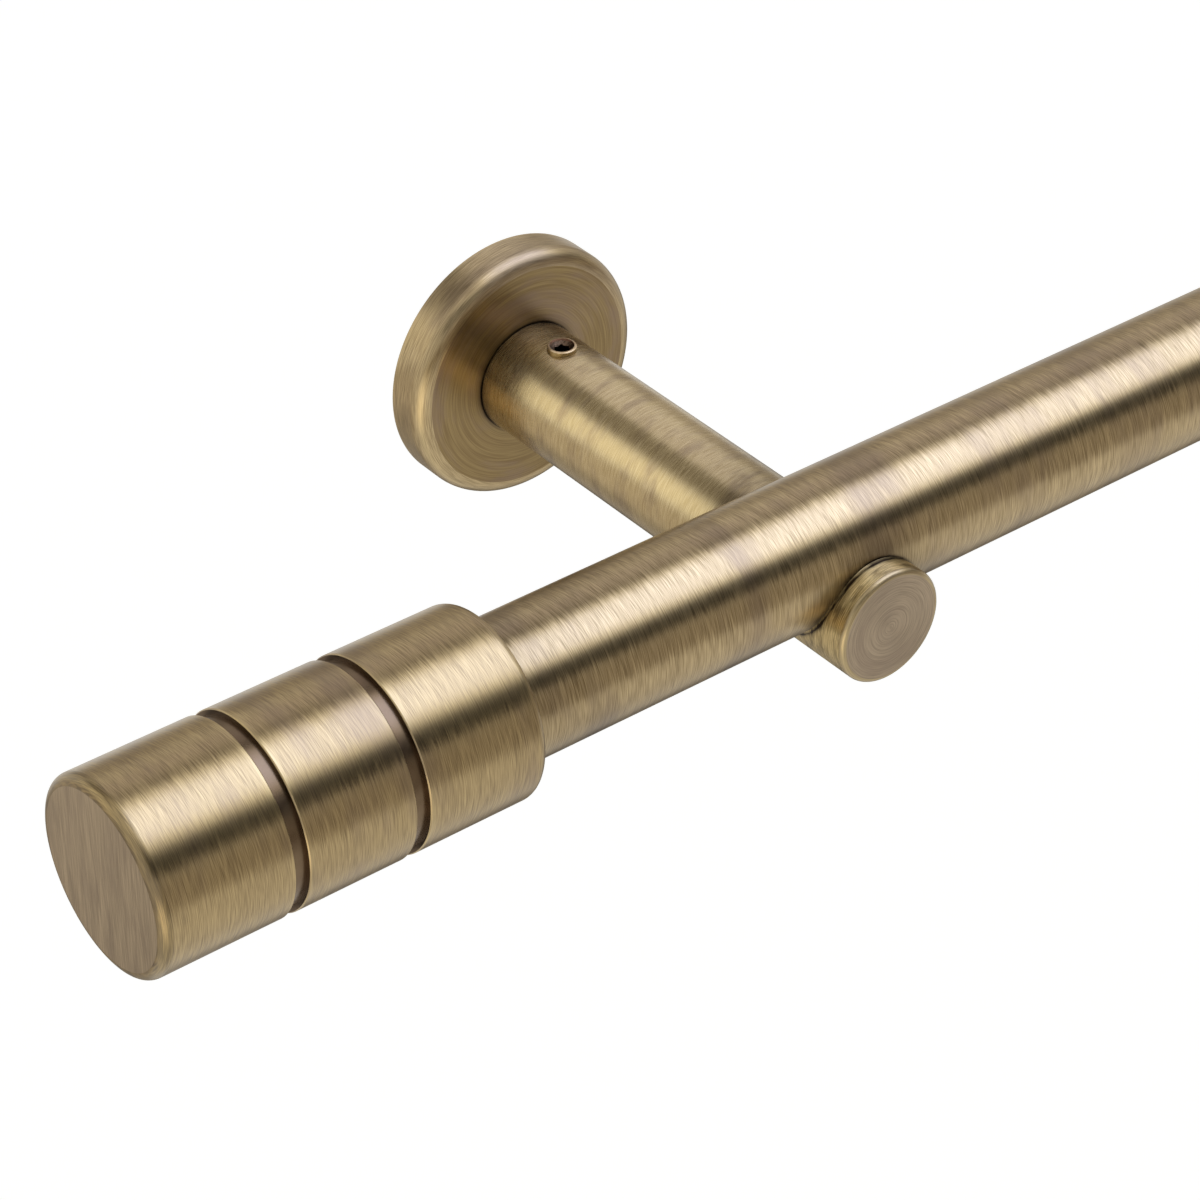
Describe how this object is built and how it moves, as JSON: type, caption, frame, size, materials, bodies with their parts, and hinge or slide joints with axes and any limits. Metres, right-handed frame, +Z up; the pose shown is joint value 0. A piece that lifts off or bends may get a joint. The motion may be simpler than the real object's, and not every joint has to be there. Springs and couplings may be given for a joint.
{
  "type": "metal curtain rod",
  "caption": "Wall-mounted metal curtain rod: a round tube held in cradle brackets on round wall roses, with a grooved barrel finial closing each end.",
  "frame": {"origin": "centre of the left bracket's wall plate, on the wall", "axes": "+X along the pole towards the right bracket, +Y into the wall, +Z up"},
  "size_m": [1.31, 0.1202, 0.056],
  "materials": {
    "pole_plating": "antique brass, brushed round the tube and lacquered",
    "finial_brass": "antique brass, turned and brushed, dark in the grooves, lacquered",
    "stem_brass": "antique brass, turned and brushed, lacquered",
    "rose_brass": "antique brass, turned and brushed in rings, lacquered",
    "plated_steel": "zinc plated, plain",
    "screw_steel": "hardened steel, darkened"
  },
  "bodies": {
    "root": {"pole": "pole_plating", "left_finial": "finial_brass", "right_finial": "finial_brass", "left_stem": "stem_brass", "right_stem": "stem_brass", "left_rose": "rose_brass", "right_rose": "rose_brass", "left_wall_plate": "plated_steel", "right_wall_plate": "plated_steel", "left_spigot": "plated_steel", "right_spigot": "plated_steel", "left_spigot_screw": "screw_steel", "right_spigot_screw": "screw_steel", "left_stem_set_screw": "screw_steel", "right_stem_set_screw": "screw_steel", "left_pole_set_screw": "screw_steel", "right_pole_set_screw": "screw_steel", "left_finial_set_screw": "screw_steel", "right_finial_set_screw": "screw_steel"}
  },
  "joints": []
}
